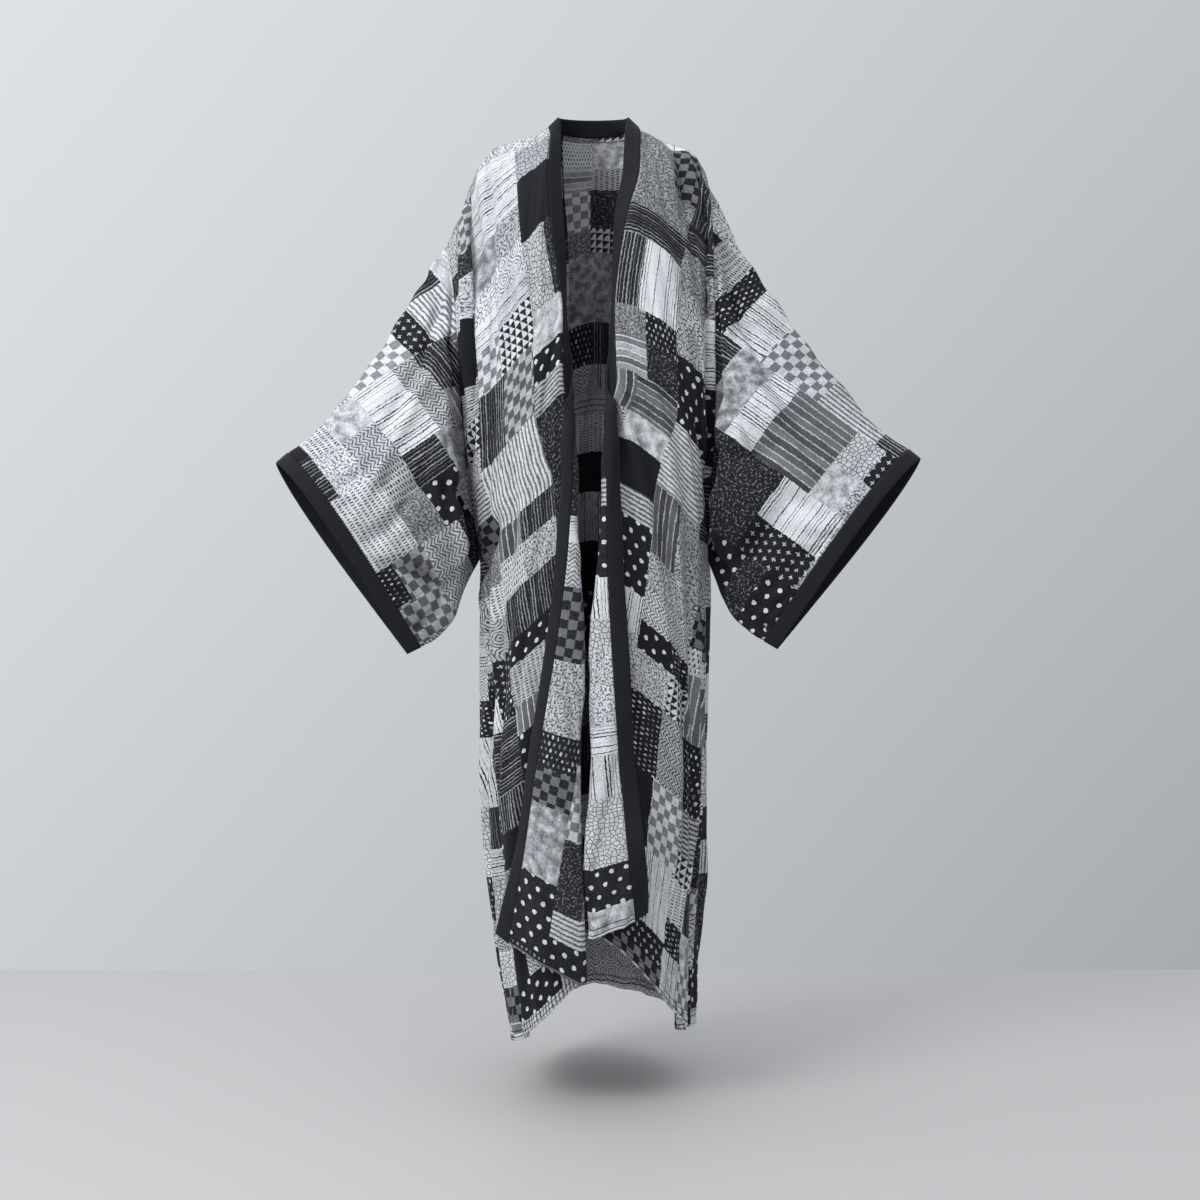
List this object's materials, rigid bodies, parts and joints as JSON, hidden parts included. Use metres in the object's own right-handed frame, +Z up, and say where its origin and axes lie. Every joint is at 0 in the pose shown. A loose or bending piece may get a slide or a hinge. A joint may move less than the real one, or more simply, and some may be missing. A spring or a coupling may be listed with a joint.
{
  "type": "long open kimono cardigan",
  "caption": "Long open kimono cardigan in worn shape, wide drop-shoulder sleeves, plain bands at fronts, neck and cuffs, both fronts turned back, worn from the neck and shoulders.",
  "frame": {"origin": "middle of the neck, level with the inner ends of the shoulders, where the wearer's neck and shoulders hold the garment", "axes": "+Z up, -Y towards the open front, +X towards the wearer's left"},
  "size_m": [0.928, 0.4055, 1.3836],
  "materials": {
    "printed_cloth": "thin woven viscose with a soft hand, printed with a black, white and grey patchwork, slight sheen",
    "plain_band": "plain near-black woven cloth, matt"
  },
  "bodies": {
    "root": {"back": "printed_cloth", "front_right": "printed_cloth", "front_left": "printed_cloth", "sleeve_right": "printed_cloth", "sleeve_left": "printed_cloth", "band_right": "plain_band", "band_left": "plain_band", "band_neck": "plain_band", "cuff_band_right": "plain_band", "cuff_band_left": "plain_band"}
  },
  "joints": []
}
